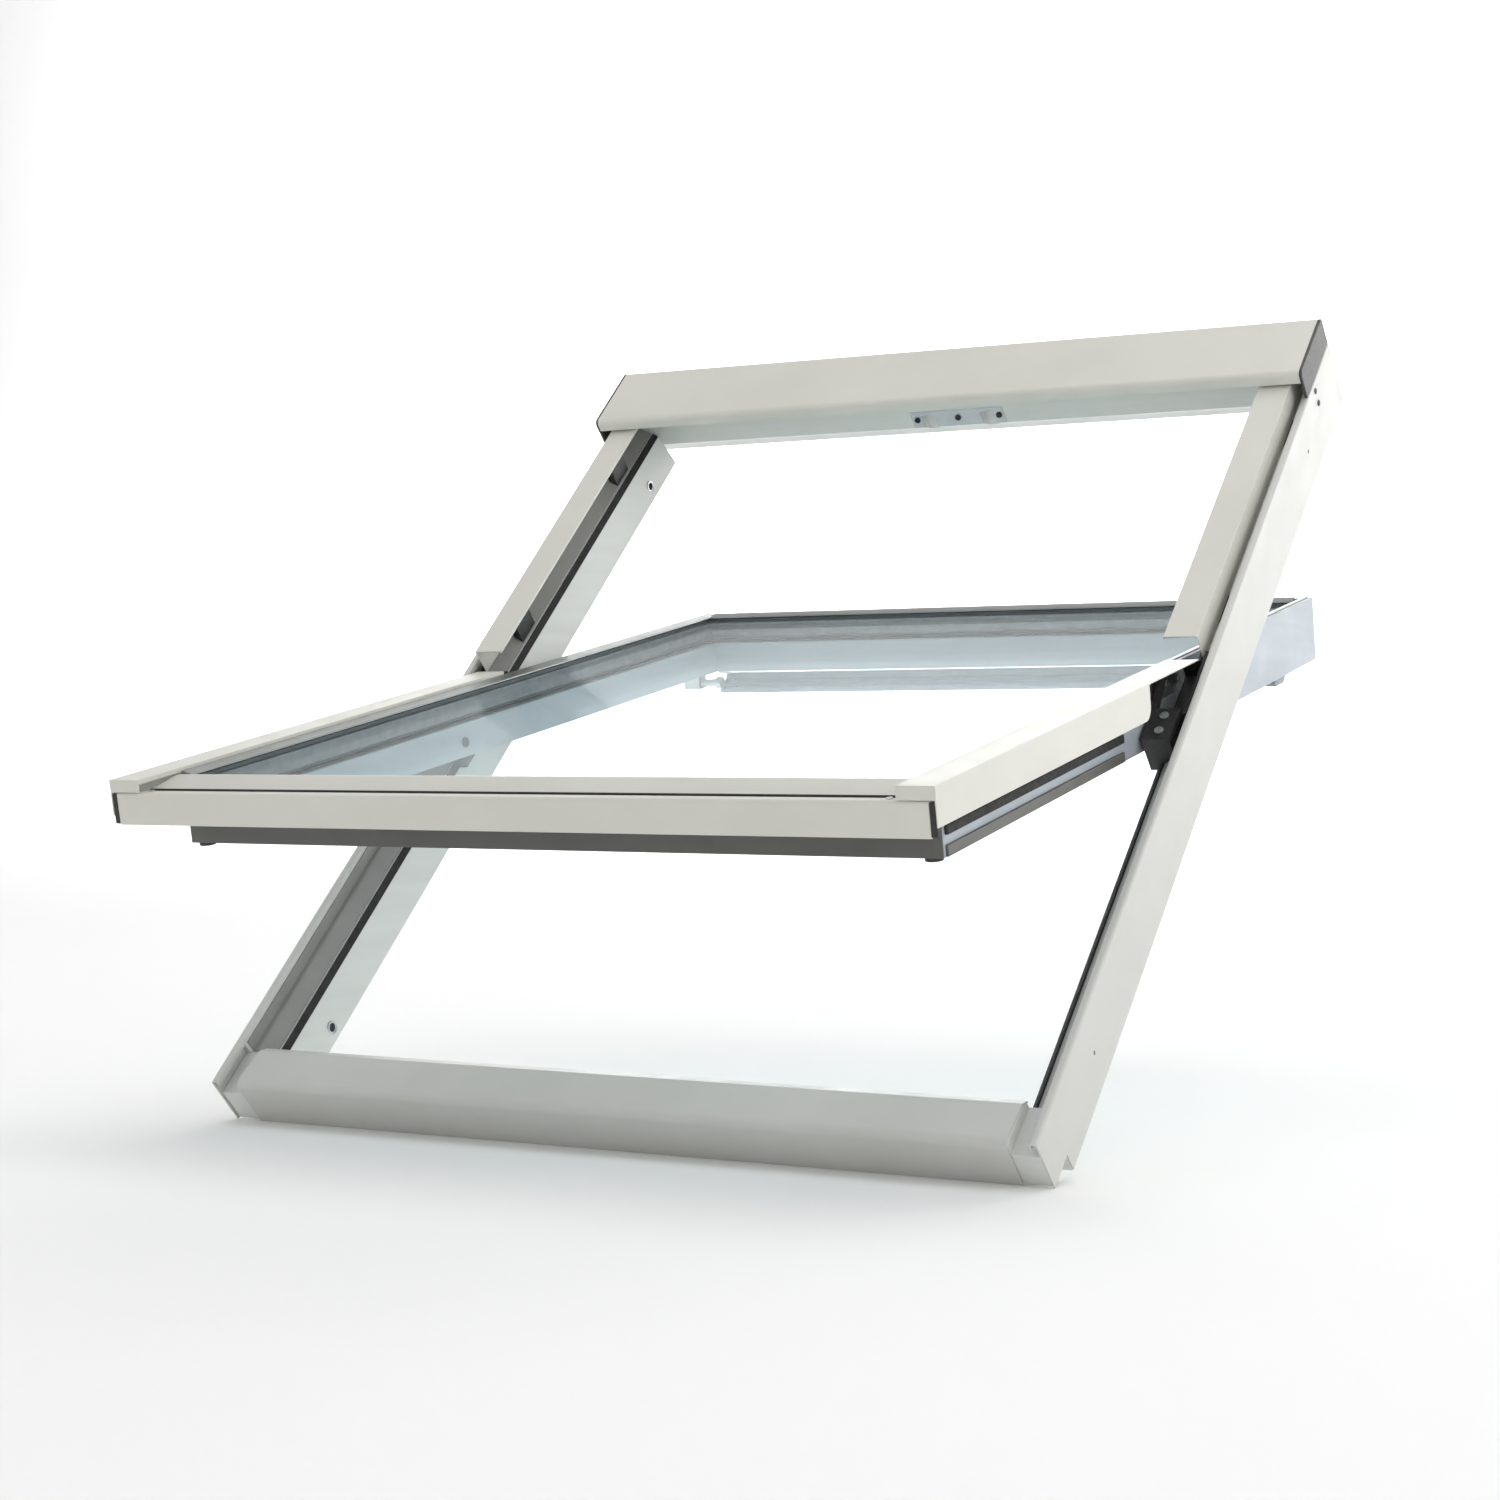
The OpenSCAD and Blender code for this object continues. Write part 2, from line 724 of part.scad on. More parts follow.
// Plugs that close the side covers' lower ends
module corner_plugs() color("black") on_sash() both_sides()
    block([bottom_cover_half, cover_front + 0.4, -bottom_cover_d + 1],
          [cover_out - cover_t, -1.5, cover_top - 1]);

module lower_cover() difference() {
    flange_end = pivot_u - 90;
    flange_round = 12;
    union() {
        along_slope(cover_front, lower_cover_end) side_cover_section(stile_top);
        block([cover_in, cover_front, cover_top + 0.3], [cover_out, cover_front + cover_t, 0]);
    }
    block([cover_out - cover_t - slack, flange_end, -cover_d - over],
          [cover_out + over, lower_cover_end + over, -cover_t]);
    difference() {
        block([cover_out - 3, flange_end - flange_round, -cover_d - over],
              [cover_out + over, flange_end + over, -cover_d + flange_round]);
        rod(flange_round, cover_out - 4, cover_out + 2 * over,
            flange_end - flange_round, -cover_d + flange_round);
    }
}

module left_lower_cover() color("ivory") on_sash() left() lower_cover();
module right_lower_cover() color("ivory") on_sash() lower_cover();

// ---- latch and control bar ----

module latch_case() color("gray") on_sash() difference() {
    block([-latch_w / 2, latch_u0, latch_z[0]], [latch_w / 2, sash_top, latch_z[1]]);
    block([-prong_x - prong_w / 2 - 0.5, latch_u0 + 2, prong_z - prong_t / 2 - 0.3],
          [prong_x + prong_w / 2 + 0.5, sash_top - 1.7, prong_z + prong_t / 2 + 0.3]);
    both_sides() block([prong_x - prong_w / 2 - 0.5, latch_u0 + 2, prong_z - prong_t / 2 - 0.3],
                       [prong_x + prong_w / 2 + 0.5, sash_top + over, prong_z + prong_t / 2 + 0.3]);
}

module latch_bolt() color("silver") on_sash() {
    slide_u1 = sash_top - 2;
    block([-prong_x - prong_w / 2, slide_u1 - 3, prong_z - prong_t / 2],
          [prong_x + prong_w / 2, slide_u1, prong_z + prong_t / 2]);
    both_sides() block([prong_x - prong_w / 2, slide_u1 - 3, prong_z - prong_t / 2],
                       [prong_x + prong_w / 2, sash_top + prong_reach, prong_z + prong_t / 2]);
}

bar_top = sash_top - 4;
bar_half = stile_in - bar_end_gap;
bar_z0 = -sash_d - 3;
bar_axis = [bar_top - 5, -sash_d - 11];
lever_t = 3;
bar_pin_r = 2;

// The bar's section: a pulled channel with a finger lip along its lower edge
module bar_section() {
    polygon([
        [bar_top, bar_z0],
        [bar_top, bar_z0 - bar_d + 4],
        [bar_top - 4, bar_z0 - bar_d],
        [bar_top - bar_h + 5, bar_z0 - bar_d],
        [bar_top - bar_h, bar_z0 - bar_d + 4],
        [bar_top - bar_h, bar_z0 - bar_d + 8],
        [bar_top - bar_h + 6, bar_z0 - bar_d + 8],
        [bar_top - bar_h + 9, bar_z0 - bar_d + 11],
        [bar_top - 6, bar_z0 - bar_d + 11],
        [bar_top - 5, bar_z0]
    ]);
}

module control_bar() color("lightsteelblue") on_sash() across(-bar_half, bar_half) bar_section();

module bar_end_levers() color("gray") on_sash() both_sides() difference() {
    across(bar_half, bar_half + lever_t) polygon([
        [bar_top, bar_z0],
        [bar_top, bar_z0 - bar_d + 4],
        [bar_top - 4, bar_z0 - bar_d],
        [bar_top - bar_h + 5, bar_z0 - bar_d],
        [bar_top - bar_h, bar_z0 - bar_d + 4],
        [bar_top - 12, bar_z0]
    ]);
    rod(bar_pin_r + pin_slack, bar_half - over, bar_half + lever_t + over,
        bar_axis[0], bar_axis[1]);
}

// Bracket on the sash's top member with the pin that the bar's lever turns on
module bar_bracket() {
    ear_x = bar_half + lever_t + 1;
    block([ear_x, top_in + 1, -sash_d - 2], [stile_in - 1, sash_top - 2, -sash_d]);
    block([ear_x, bar_axis[0] - 5, bar_axis[1] - 5], [ear_x + 2.5, bar_axis[0] + 5, -sash_d - 1]);
    rod(bar_pin_r, bar_half + 0.2, ear_x + 1, bar_axis[0], bar_axis[1]);
}

module left_bar_bracket() color("silver") on_sash() left() bar_bracket();
module right_bar_bracket() color("silver") on_sash() bar_bracket();

// ---- barrel bolt for the cleaning position ----

guide_u = [bolt_u - bolt_r - 4, bolt_u + bolt_r + 4];

module bolt_guide() color("gray") on_sash() left() difference() {
    block([stile_in + 1, guide_u[0], bolt_z - bolt_r - 2], [stile_out - 1, guide_u[1], -sash_d]);
    rod(bolt_r + pin_slack, stile_in, stile_out, bolt_u, bolt_z);
}

module barrel_bolt() color("silver") on_sash() left() {
    rod(bolt_r, stile_in - bolt_travel - 6, stile_out - 2, bolt_u, bolt_z);
    rod(bolt_r + 2.5, stile_in - bolt_travel - 10, stile_in - bolt_travel - 4, bolt_u, bolt_z);
}

frame_bottom_member();
frame_top_member();
frame_left_jamb();
frame_right_jamb();
bottom_cladding();
left_cladding();
right_cladding();
top_cladding();
left_gutter_rail();
right_gutter_rail();
left_frame_gasket();
right_frame_gasket();
top_frame_gasket();
top_casing();
left_casing_cap();
right_casing_cap();
casing_screws();
left_upper_cover();
right_upper_cover();
cover_clips();
left_hinge_housing();
right_hinge_housing();
frame_hinge_screws();
striker_plate();
striker_screws();
bolt_bushes();
sash_bottom_member();
sash_top_member();
sash_left_stile();
sash_right_stile();
outer_pane();
inner_pane();
pane_spacer();
pane_bed();
pane_gasket();
left_glazing_profile();
right_glazing_profile();
top_glazing_profile();
bottom_glazing_profile();
sash_bottom_profile();
bottom_cover();
bottom_cover_screws();
corner_plugs();
left_lower_cover();
right_lower_cover();
left_hinge_plate();
right_hinge_plate();
sash_hinge_screws();
left_pivot_pin();
right_pivot_pin();
friction_washers();
latch_case();
left_bar_bracket();
right_bar_bracket();
bolt_guide();
control_bar();
bar_end_levers();
latch_bolt();
barrel_bolt();
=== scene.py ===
import json
from math import atan2, cos, pi, radians, sin

import bmesh
import bpy
from mathutils import Matrix, Vector


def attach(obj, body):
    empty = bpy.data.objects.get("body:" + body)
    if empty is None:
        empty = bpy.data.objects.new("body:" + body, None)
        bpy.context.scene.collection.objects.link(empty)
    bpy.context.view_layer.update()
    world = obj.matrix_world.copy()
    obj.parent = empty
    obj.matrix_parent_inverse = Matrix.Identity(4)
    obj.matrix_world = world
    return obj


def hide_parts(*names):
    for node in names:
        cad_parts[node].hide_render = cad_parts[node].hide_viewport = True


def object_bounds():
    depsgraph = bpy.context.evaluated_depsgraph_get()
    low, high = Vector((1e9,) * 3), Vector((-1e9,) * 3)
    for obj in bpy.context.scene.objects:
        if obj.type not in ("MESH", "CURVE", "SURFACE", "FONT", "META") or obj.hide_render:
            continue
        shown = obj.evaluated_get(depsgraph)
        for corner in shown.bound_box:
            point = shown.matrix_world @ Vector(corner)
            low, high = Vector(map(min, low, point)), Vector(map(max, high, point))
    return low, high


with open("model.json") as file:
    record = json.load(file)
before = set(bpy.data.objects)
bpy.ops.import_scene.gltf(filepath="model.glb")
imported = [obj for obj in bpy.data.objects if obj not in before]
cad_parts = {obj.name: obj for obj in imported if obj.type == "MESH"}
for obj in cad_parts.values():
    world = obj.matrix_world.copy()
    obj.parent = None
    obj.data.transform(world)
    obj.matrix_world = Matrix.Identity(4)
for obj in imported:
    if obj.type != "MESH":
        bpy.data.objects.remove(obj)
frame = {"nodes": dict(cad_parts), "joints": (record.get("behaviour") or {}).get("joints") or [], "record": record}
cad_low, cad_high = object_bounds()

# ---- Floor, backdrop, lamps and camera ----
# A sheet of white studio paper lies under the window and curves up behind it. Large soft lamps
# stand above, at the right and at the left, and two more light the paper behind the window. The
# camera stands low at the front right.


def new_material(name, metal=0.0):
    material = bpy.data.materials.new(name)
    material.use_nodes = True
    shader = material.node_tree.nodes["Principled BSDF"]
    shader.inputs["Metallic"].default_value = metal
    return material


def pattern_place(material, turn=0.0, stretch=(1.0, 1.0, 1.0)):
    """The point on the object, turned about X and stretched, for a pattern to read."""
    nodes = material.node_tree.nodes
    point = nodes.new("ShaderNodeTexCoord")
    mapping = nodes.new("ShaderNodeMapping")
    mapping.inputs["Rotation"].default_value = (turn, 0.0, 0.0)
    mapping.inputs["Scale"].default_value = stretch
    material.node_tree.links.new(point.outputs["Object"], mapping.inputs["Vector"])
    return mapping.outputs["Vector"]


def noise(material, place, scale, detail=3.0, roughness=0.55):
    node = material.node_tree.nodes.new("ShaderNodeTexNoise")
    node.inputs["Scale"].default_value = scale
    node.inputs["Detail"].default_value = detail
    node.inputs["Roughness"].default_value = roughness
    material.node_tree.links.new(place, node.inputs["Vector"])
    return node.outputs["Fac"]


def shade_between(material, pattern, dark, light, low=0.3, high=0.7):
    """Colours the surface between two shades by a pattern."""
    ramp = material.node_tree.nodes.new("ShaderNodeValToRGB")
    ramp.color_ramp.elements[0].position = low
    ramp.color_ramp.elements[0].color = (*dark, 1.0)
    ramp.color_ramp.elements[1].position = high
    ramp.color_ramp.elements[1].color = (*light, 1.0)
    shader = material.node_tree.nodes["Principled BSDF"]
    material.node_tree.links.new(pattern, ramp.inputs["Fac"])
    material.node_tree.links.new(ramp.outputs["Color"], shader.inputs["Base Color"])


def gloss_between(material, pattern, smooth, rough):
    """Varies the surface's roughness by a pattern."""
    spread = material.node_tree.nodes.new("ShaderNodeMapRange")
    spread.inputs["From Min"].default_value = 0.3
    spread.inputs["From Max"].default_value = 0.7
    spread.inputs["To Min"].default_value = smooth
    spread.inputs["To Max"].default_value = rough
    shader = material.node_tree.nodes["Principled BSDF"]
    material.node_tree.links.new(pattern, spread.inputs["Value"])
    material.node_tree.links.new(spread.outputs["Result"], shader.inputs["Roughness"])


def relief(material, pattern, depth, strength=1.0):
    """Raises the surface by a pattern, to depth in metres, over any relief it has."""
    tree = material.node_tree
    bump = tree.nodes.new("ShaderNodeBump")
    bump.inputs["Distance"].default_value = depth
    bump.inputs["Strength"].default_value = strength
    normal = tree.nodes["Principled BSDF"].inputs["Normal"]
    if normal.is_linked:
        tree.links.new(normal.links[0].from_socket, bump.inputs["Normal"])
    tree.links.new(pattern, bump.inputs["Height"])
    tree.links.new(bump.outputs["Normal"], normal)


floor_level = cad_low.z
floor_half = 9.0
floor_back = 7.0
backdrop_height = 8.0
backdrop_curve = 3.0

sheet = bmesh.new()
bmesh.ops.create_grid(sheet, x_segments=1, y_segments=1, size=floor_half)
bmesh.ops.translate(sheet, verts=sheet.verts, vec=(0, floor_back - floor_half, floor_level))
sheet.edges.ensure_lookup_table()
far_edge = max(sheet.edges, key=lambda edge: sum(v.co.y for v in edge.verts))
raised = bmesh.ops.extrude_edge_only(sheet, edges=[far_edge])["geom"]
raised = [part for part in raised if isinstance(part, bmesh.types.BMVert)]
bmesh.ops.translate(sheet, verts=raised, vec=(0, 0, backdrop_height))
bmesh.ops.bevel(sheet, geom=[far_edge], offset=backdrop_curve, offset_type="OFFSET",
                segments=24, profile=0.5, affect="EDGES", clamp_overlap=True, material=-1)
for face in sheet.faces:
    face.smooth = True
paper_mesh = bpy.data.meshes.new("studio_paper")
sheet.to_mesh(paper_mesh)
sheet.free()

paper = new_material("white studio paper")
paper_place = pattern_place(paper)
shade_between(paper, noise(paper, paper_place, 0.6), (0.93, 0.935, 0.93), (0.95, 0.955, 0.95))
gloss_between(paper, noise(paper, paper_place, 40.0), 0.9, 1.0)
paper_mesh.materials.append(paper)
studio_paper = bpy.data.objects.new("studio_paper", paper_mesh)
bpy.context.scene.collection.objects.link(studio_paper)

window_middle = (cad_low + cad_high) / 2
onto_paper = Vector((0.0, 4.0, -1.0))

for name, position, size, power in (
    ("right lamp", (3.4, -0.2, 1.5), 2.0, 22.0),
    ("top lamp", (0.4, 0.2, 3.6), 3.0, 30.0),
    ("left lamp", (-3.2, -2.4, 1.8), 2.4, 8.0),
    ("backdrop lamp left", (-3.4, 4.6, 3.0), 3.0, 250.0),
    ("backdrop lamp right", (1.4, 5.2, 3.4), 3.0, 250.0),
):
    lamp = bpy.data.lights.new(name, "AREA")
    lamp.size = size
    lamp.energy = power
    lamp_object = bpy.data.objects.new(name, lamp)
    lamp_object.location = position
    if name.startswith("backdrop"):
        aim = onto_paper
    else:
        aim = window_middle - Vector(position)
    lamp_object.rotation_euler = aim.to_track_quat("-Z", "Y").to_euler()
    bpy.context.scene.collection.objects.link(lamp_object)

studio = bpy.data.worlds.new("studio")
studio.use_nodes = True
studio.node_tree.nodes["Background"].inputs["Color"].default_value = (1.0, 1.0, 1.0, 1.0)
studio.node_tree.nodes["Background"].inputs["Strength"].default_value = 0.60
bpy.context.scene.world = studio
bpy.context.scene.view_settings.view_transform = "Standard"

camera = bpy.data.cameras.new("camera")
camera.lens = 65.0
camera.clip_end = 60.0
camera_object = bpy.data.objects.new("camera", camera)
camera_object.location = (1.177, -1.851, 0.310)
camera_object.rotation_euler = (radians(90.0), 0.0, radians(29.3))
bpy.context.scene.collection.objects.link(camera_object)
bpy.context.scene.camera = camera_object

# ---- Timber of the outer frame ----
# Two jambs, a bottom and a top member of laminated pine, jointed at the corners and sprayed with
# white lacquer. All pieces are drawn in millimetres as the window would lie flat: X across, Y up
# the slope and Z out of the roof, with Z = 0 at the top of the side covers.

MM = 0.001
face_depth = 44
merge_distance = 0.002
sharp_turn = 40.0
joints = {joint["name"]: joint for joint in frame["joints"]}
mounts = {mount["name"]: mount for mount in frame["record"]["mounts"]}
down_slope = mounts["flashing_face"]["axis"]
pitch = atan2(-down_slope[2], -down_slope[1])
open_angle = radians(-joints["sash_pivot"]["range_deg"][0])
pivot = Matrix.Translation(joints["sash_pivot"]["pos_m"])
in_roof = (Matrix.Rotation(pitch, 4, "X") @ Matrix.Translation((0, 0, face_depth * MM))
           @ Matrix.Scale(MM, 4))
in_sash = pivot @ Matrix.Rotation(-open_angle, 4, "X") @ pivot.inverted() @ in_roof


def from_cad(node, lay):
    """A copy of a CAD node's shape, laid flat, with its flat faces whole again."""
    shape = bmesh.new()
    shape.from_mesh(frame["nodes"][node].data)
    shape.transform(lay.inverted())
    bmesh.ops.remove_doubles(shape, verts=shape.verts, dist=0.003)
    bmesh.ops.dissolve_limit(shape, angle_limit=radians(1.5), verts=shape.verts,
                             edges=shape.edges)
    return shape


def round_edges(shape, edges, size, segments):
    bmesh.ops.bevel(shape, geom=edges, offset=size, offset_type="OFFSET", segments=segments,
                    profile=0.5, affect="EDGES", clamp_overlap=True, material=-1)


def soften(shape, size, segments=2, least_angle=25.0):
    """Rounds every edge that turns by more than the least angle."""
    edges = [edge for edge in shape.edges
             if len(edge.link_faces) == 2
             and edge.calc_face_angle(0.0) > radians(least_angle)]
    round_edges(shape, edges, size, segments)


def make_piece(name, shape, lay, body, material, stands_for=()):
    """Clears zero-area faces and makes the shape an object that rides on a body."""
    bmesh.ops.remove_doubles(shape, verts=shape.verts, dist=merge_distance)
    bmesh.ops.dissolve_degenerate(shape, dist=merge_distance, edges=shape.edges)
    shape.transform(lay)
    for part in shape.faces:
        part.smooth = True
    for part in shape.edges:
        part.smooth = part.calc_face_angle(0.0) < radians(sharp_turn)
    mesh = bpy.data.meshes.new(name)
    shape.to_mesh(mesh)
    shape.free()
    mesh.materials.append(material)
    piece = bpy.data.objects.new(name, mesh)
    bpy.context.scene.collection.objects.link(piece)
    shading = piece.modifiers.new("even shading", "WEIGHTED_NORMAL")
    shading.keep_sharp = True
    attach(piece, body)
    if stands_for:
        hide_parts(*stands_for)
    return piece


def lacquered_timber(name, dark, light, turn, along):
    """White lacquer over pine whose grain runs along a direction."""
    material = new_material(name)
    grain_place = pattern_place(material, turn, along)
    plain_place = pattern_place(material)
    grain = noise(material, grain_place, 190.0, 6.0, 0.6)
    shade_between(material, noise(material, grain_place, 60.0, 4.0), dark, light)
    gloss_between(material, noise(material, plain_place, 35.0), 0.32, 0.46)
    relief(material, grain, 0.00012, 0.7)
    relief(material, noise(material, plain_place, 900.0, 2.0), 0.00003, 0.5)
    return material


across_grain = (0.03, 1.0, 1.0)
upward_grain = (1.0, 0.03, 1.0)
frame_dark = (0.70, 0.71, 0.68)
frame_light = (0.76, 0.77, 0.74)
frame_cross_timber = lacquered_timber("white lacquer, grain across", frame_dark, frame_light,
                                      -pitch, across_grain)
frame_upright_timber = lacquered_timber("white lacquer, grain up", frame_dark, frame_light,
                                        -pitch, upward_grain)
timber_edge = 0.9

for node, timber in (
    ("frame_left_jamb", frame_upright_timber),
    ("frame_right_jamb", frame_upright_timber),
    ("frame_bottom_member", frame_cross_timber),
    ("frame_top_member", frame_cross_timber),
):
    member = from_cad(node, in_roof)
    soften(member, timber_edge, 3)
    make_piece(node + "_lacquered", member, in_roof, "frame", timber,
               [node])

# ---- Cladding of the outer frame ----
# Roll-formed aluminium sheet, 1.5 mm thick, in a satin light grey lacquer, clipped over the
# weather side of the timber: two sides, a rounded bottom piece and a flanged top piece.

least_fold_length = 18
least_fold_turn = 25


def fold_sheet(shape, thickness, inner_radius):
    """Rounds a metal sheet's folds: a fold has a wide face on both sides, a cut edge hasn't."""
    for outward in (True, False):
        folds = []
        for edge in shape.edges:
            if len(edge.link_faces) != 2 or edge.calc_length() < least_fold_length:
                continue
            if edge.is_convex != outward:
                continue
            if edge.calc_face_angle(0.0) < radians(least_fold_turn):
                continue
            widths = [face.calc_area() / edge.calc_length() for face in edge.link_faces]
            if min(widths) > 1.5 * thickness:
                folds.append(edge)
        if folds:
            radius = inner_radius + thickness if outward else inner_radius
            round_edges(shape, folds, radius, 4)


def satin_lacquer(name, dark, light, smooth=0.30, rough=0.42, peel=0.00002):
    """Stove lacquer on aluminium: an even shade, a fine orange peel and a soft gloss."""
    material = new_material(name)
    place = pattern_place(material)
    shade_between(material, noise(material, place, 9.0, 5.0), dark, light)
    gloss_between(material, noise(material, place, 28.0, 4.0), smooth, rough)
    relief(material, noise(material, place, 1100.0, 2.0), peel, 0.6)
    relief(material, noise(material, place, 14.0, 1.0), 0.0004, 0.25)
    return material


cladding_lacquer = satin_lacquer("light grey cladding lacquer",
                                 (0.60, 0.60, 0.57), (0.64, 0.64, 0.61))
cladding_thickness = 1.5
cut_edge = 0.2

for node in ("left_cladding", "right_cladding", "top_cladding", "bottom_cladding"):
    cladding = from_cad(node, in_roof)
    fold_sheet(cladding, cladding_thickness, 0.8)
    soften(cladding, cut_edge, 1, 40)
    make_piece(node + "_folded", cladding, in_roof, "frame",
               cladding_lacquer, [node])

# ---- Gutter rails and the sash's drip profile ----
# Folded aluminium strips. The mid grey rails line the gutter beside the jambs and carry the
# cover clips. The dark drip profile is screwed under the sash and carries the bottom cover.

dark_lacquer = satin_lacquer("dark grey lacquer", (0.115, 0.115, 0.105), (0.14, 0.14, 0.13),
                             0.38, 0.52)

rail_lacquer = satin_lacquer("mid grey rail lacquer", (0.27, 0.265, 0.25),
                             (0.32, 0.315, 0.30), 0.38, 0.52)

for node, lay, body, slot, lacquer, thickness in (
    ("left_gutter_rail", in_roof, "frame", "cladding_aluminium", rail_lacquer, 1.2),
    ("right_gutter_rail", in_roof, "frame", "cladding_aluminium", rail_lacquer, 1.2),
    ("sash_bottom_profile", in_sash, "sash", "dark_aluminium", dark_lacquer, 1.5),
):
    strip = from_cad(node, lay)
    fold_sheet(strip, thickness, 0.6)
    soften(strip, cut_edge, 1, 40)
    make_piece(node + "_folded", strip, lay, body, lacquer, [node])

# ---- Gaskets ----
# Extruded black rubber: compression strips on the frame, which the closed sash presses on,
# and strips above and below the pane's edge.

rubber = new_material("black gasket rubber")
rubber_place = pattern_place(rubber)
shade_between(rubber, noise(rubber, rubber_place, 60.0), (0.016, 0.016, 0.016),
              (0.030, 0.030, 0.029))
gloss_between(rubber, noise(rubber, rubber_place, 300.0), 0.62, 0.82)
relief(rubber, noise(rubber, rubber_place, 1500.0, 2.0), 0.00003, 0.5)

for node, lay, body, size in (
    ("left_frame_gasket", in_roof, "frame", 0.6),
    ("right_frame_gasket", in_roof, "frame", 0.6),
    ("top_frame_gasket", in_roof, "frame", 0.6),
    ("pane_bed", in_sash, "sash", 0.4),
    ("pane_gasket", in_sash, "sash", 0.25),
):
    strip = from_cad(node, lay)
    soften(strip, size, 3, 30)
    make_piece(node + "_fitted", strip, lay, body, rubber, [node])

# ---- Top casing, side covers and bottom cover ----
# Aluminium sheet, 1.2 mm thick, folded and stove lacquered off-white. The casing spans the
# frame's top, the upper covers clip to the frame, and the lower covers turn with the sash.

cover_lacquer = satin_lacquer("off-white cover lacquer", (0.67, 0.665, 0.605),
                              (0.71, 0.705, 0.645), 0.28, 0.40)
cover_thickness = 1.2

for node, lay, body in (
    ("top_casing", in_roof, "frame"),
    ("left_upper_cover", in_roof, "frame"),
    ("right_upper_cover", in_roof, "frame"),
    ("left_lower_cover", in_sash, "sash"),
    ("right_lower_cover", in_sash, "sash"),
    ("bottom_cover", in_sash, "sash"),
):
    cover = from_cad(node, lay)
    fold_sheet(cover, cover_thickness, 0.8)
    soften(cover, cut_edge, 1, 40)
    make_piece(node + "_folded", cover, lay, body, cover_lacquer, [node])

# ---- Plastic fittings ----
# Injection-moulded parts: grey end caps on the casing, clips under the upper covers, black
# hinge housings in the jambs, corner plugs in the lower covers and the hinges' washers.


def moulded_plastic(name, dark, light, smooth, rough):
    """Plastic with the fine spark texture of its mould."""
    material = new_material(name)
    place = pattern_place(material)
    shade_between(material, noise(material, place, 120.0, 4.0), dark, light)
    gloss_between(material, noise(material, place, 400.0), smooth, rough)
    relief(material, noise(material, place, 2200.0, 2.0), 0.00003, 0.7)
    return material


black_plastic = moulded_plastic("black plastic", (0.018, 0.018, 0.018),
                                (0.028, 0.028, 0.028), 0.42, 0.58)
cap_plastic = moulded_plastic("dark grey cap plastic", (0.060, 0.061, 0.058),
                              (0.080, 0.081, 0.078), 0.40, 0.55)

for node, lay, body, size in (
    ("cover_clips", in_roof, "frame", 0.4),
    ("left_hinge_housing", in_roof, "frame", 0.6),
    ("right_hinge_housing", in_roof, "frame", 0.6),
    ("corner_plugs", in_sash, "sash", 0.8),
    ("friction_washers", in_sash, "sash", 0.15),
):
    moulding = from_cad(node, lay)
    soften(moulding, size, 2)
    make_piece(node + "_moulded", moulding, lay, body, black_plastic, [node])

for node in ("left_casing_cap", "right_casing_cap"):
    cap = from_cad(node, in_roof)
    soften(cap, 0.7, 3)
    make_piece(node + "_moulded", cap, in_roof, "frame", cap_plastic, [node])

# ---- Sash timber ----
# The sash's four members, of the same lacquered pine, with the rebate that holds the pane. Two
# infill blocks on the top member close the ends of the stiles' rebates.

infill_size = (14.6, 5.8, 29.6)
infill_middle = (335.4, 936.9, -19.1)
# The sash's blue-grey shades are painted shade and painted reflection, darker and bluer than its white lacquer.
sash_painted_shade_dark = (0.42, 0.47, 0.52)
sash_painted_shade_light = (0.48, 0.53, 0.58)
shaded_sash_cross_timber = lacquered_timber("sash lacquer with painted shade, grain across", sash_painted_shade_dark, sash_painted_shade_light,
                                     open_angle - pitch, across_grain)
shaded_sash_upright_timber = lacquered_timber("sash lacquer with painted shade, grain up", sash_painted_shade_dark, sash_painted_shade_light,
                                       open_angle - pitch, upward_grain)

for node, timber in (
    ("sash_left_stile", shaded_sash_upright_timber),
    ("sash_right_stile", shaded_sash_upright_timber),
    ("sash_bottom_member", shaded_sash_cross_timber),
    ("sash_top_member", shaded_sash_cross_timber),
):
    member = from_cad(node, in_sash)
    if node == "sash_top_member":
        for side in (-1, 1):
            infill = bmesh.ops.create_cube(member, size=1.0)["verts"]
            bmesh.ops.scale(member, verts=infill, vec=infill_size)
            middle = (side * infill_middle[0], infill_middle[1], infill_middle[2])
            bmesh.ops.translate(member, verts=infill, vec=middle)
    soften(member, timber_edge, 3)
    make_piece(node + "_lacquered", member, in_sash, "sash", timber, [node])

# ---- Double glazing ----
# Two float glass panes, 4 mm thick, with ground edges, sealed round a perforated aluminium
# spacer that is filled with drying beads. The outer pane runs on over the bottom member.

slant_ior = 1.3
shine_at_edge = 0.09
shine_face_on = 0.006

clear_glass = new_material("clear float glass")
glass_tree = clear_glass.node_tree
glass_place = pattern_place(clear_glass)
shade_between(clear_glass, noise(clear_glass, glass_place, 3.0), (0.86, 0.90, 0.90),
              (0.88, 0.92, 0.92))
gloss_between(clear_glass, noise(clear_glass, glass_place, 8.0), 0.01, 0.02)
let_through = glass_tree.nodes.new("ShaderNodeBsdfTransparent")
let_through.inputs["Color"].default_value = (0.955, 0.98, 0.985, 1.0)
slant = glass_tree.nodes.new("ShaderNodeFresnel")
slant.inputs["IOR"].default_value = slant_ior
shine = glass_tree.nodes.new("ShaderNodeMath")
shine.operation = "MULTIPLY_ADD"
shine.inputs[1].default_value = shine_at_edge
shine.inputs[2].default_value = shine_face_on
shine.use_clamp = True
glass_mix = glass_tree.nodes.new("ShaderNodeMixShader")
glass_tree.links.new(slant.outputs["Fac"], shine.inputs[0])
